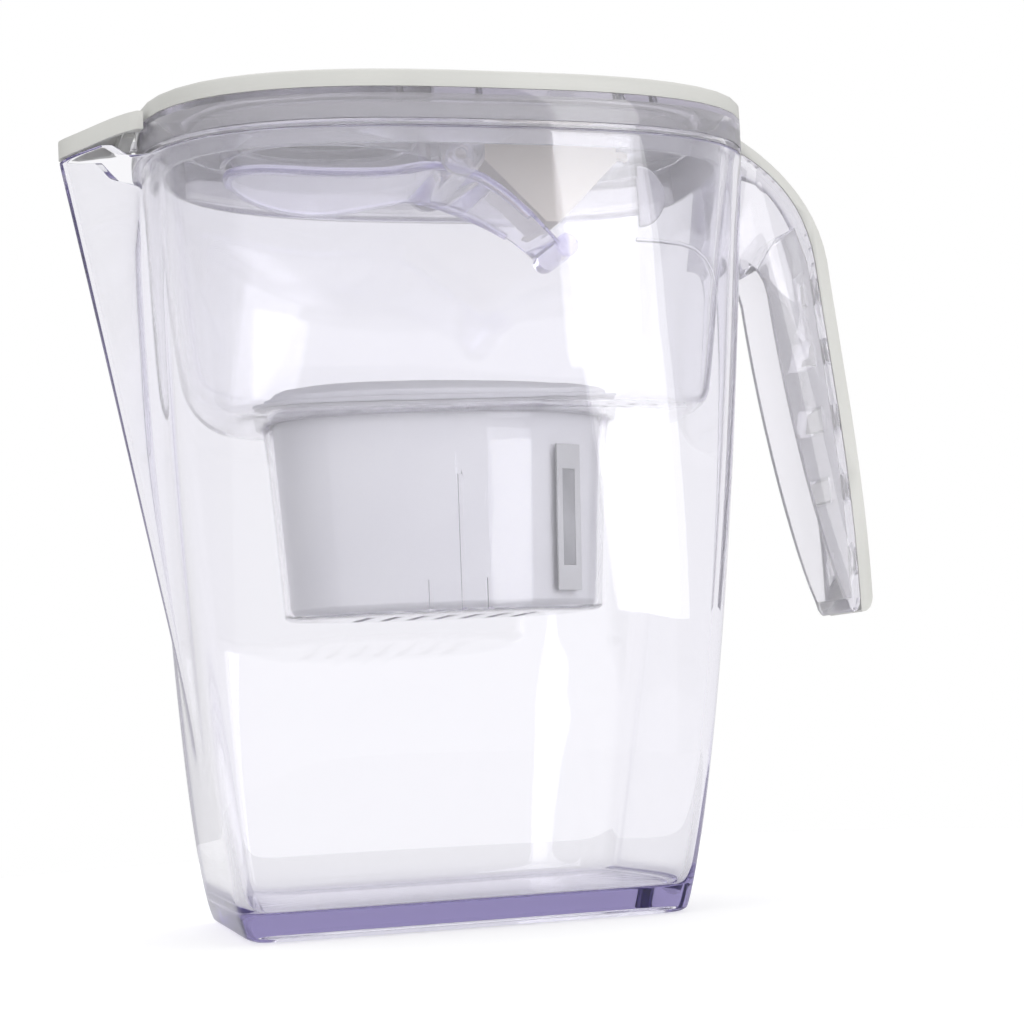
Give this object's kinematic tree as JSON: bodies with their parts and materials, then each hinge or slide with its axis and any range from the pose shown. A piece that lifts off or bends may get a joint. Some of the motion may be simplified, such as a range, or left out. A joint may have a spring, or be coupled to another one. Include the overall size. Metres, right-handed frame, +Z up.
{
  "type": "water filter pitcher",
  "caption": "Clear water filter pitcher with a beak spout, drop-in hopper and filter cup, white lid with flip-up filling door, and a white-backed open handle.",
  "frame": {"origin": "middle of the overall length and depth, on the table under the pitcher", "axes": "+Z up, +X from the beak toward the handle, +Y away from the pictured side"},
  "size_m": [0.267, 0.123, 0.263],
  "materials": {
    "clear_jug": "clear moulded copolyester, polished",
    "clear_handle": "clear moulded plastic with a lavender cast",
    "clear_hopper": "clear moulded plastic, slightly milky",
    "clear_lid": "clear moulded plastic with a lavender cast",
    "clear_chute": "clear moulded plastic",
    "white_abs": "moulded, satin gloss",
    "cream_abs": "moulded, satin",
    "white_pp": "moulded polypropylene, soft satin",
    "grey_label_film": "printed film, plain",
    "dark_label_film": "printed film, plain",
    "silicone": "moulded silicone",
    "carbon": "packed granules",
    "resin": "packed beads",
    "mesh_cloth": "fine woven mesh",
    "steel": "stainless wire, drawn",
    "circuit_board": "glass-fibre board with green mask",
    "cell_steel": "pressed steel can",
    "lcd_glass": "display glass",
    "window_clear": "clear moulded window",
    "button_lavender": "moulded, satin"
  },
  "bodies": {
    "jug": {"jug_vessel": "clear_jug", "handle_frame": "clear_handle", "handle_cover": "white_abs"},
    "hopper": {"hopper_tank": "clear_hopper", "cup_strip": "grey_label_film", "cup_strip_panel": "dark_label_film"},
    "cartridge": {"cartridge_shell": "white_pp", "cartridge_cap": "white_pp", "cartridge_gasket": "silicone", "carbon_bed": "carbon", "resin_bed": "resin", "inlet_screen": "mesh_cloth", "outlet_screen": "mesh_cloth"},
    "lid": {"lid_plate": "white_abs", "lid_frame": "clear_lid", "pour_chute": "clear_chute", "door_hinge_pin": "steel", "beak_hinge_pin": "steel", "indicator_housing": "cream_abs", "indicator_board": "circuit_board", "coin_cell": "cell_steel", "lcd_panel": "lcd_glass", "display_window": "window_clear", "housing_screws": "steel", "button_spring": "steel"},
    "door": {"fill_door": "white_abs"},
    "spout_cover": {"beak_cover": "white_abs"},
    "button": {"indicator_button": "button_lavender"}
  },
  "joints": [
    {"name": "hopper_lift", "type": "slide", "parent": "jug", "child": "hopper", "axis": [0, 0, 1], "range_m": [0, 0.17]},
    {"name": "lid_lift", "type": "slide", "parent": "hopper", "child": "lid", "axis": [0, 0, 1], "range_m": [0, 0.3]},
    {"name": "cartridge_lift", "type": "slide", "parent": "hopper", "child": "cartridge", "axis": [0, 0, 1], "range_m": [0, 0.15]},
    {"name": "door_hinge", "type": "hinge", "parent": "lid", "child": "door", "pos_m": [-0.0092, 0, 0.2612], "axis": [0, 1, 0], "range_deg": [0, 100]},
    {"name": "spout_cover_hinge", "type": "hinge", "parent": "lid", "child": "spout_cover", "pos_m": [-0.1113, 0, 0.2568], "axis": [0, 1, 0], "range_deg": [0, 70]},
    {"name": "button_press", "type": "slide", "parent": "lid", "child": "button", "axis": [0, 0, -1], "range_m": [0, 0.0008], "stiffness_N_per_m": 800, "springref_m": -0.001, "deforming": ["button_spring"]}
  ],
  "couplings": [
    {"joint": "cartridge_lift", "follows": "lid_lift", "ratio": 0.5}
  ]
}
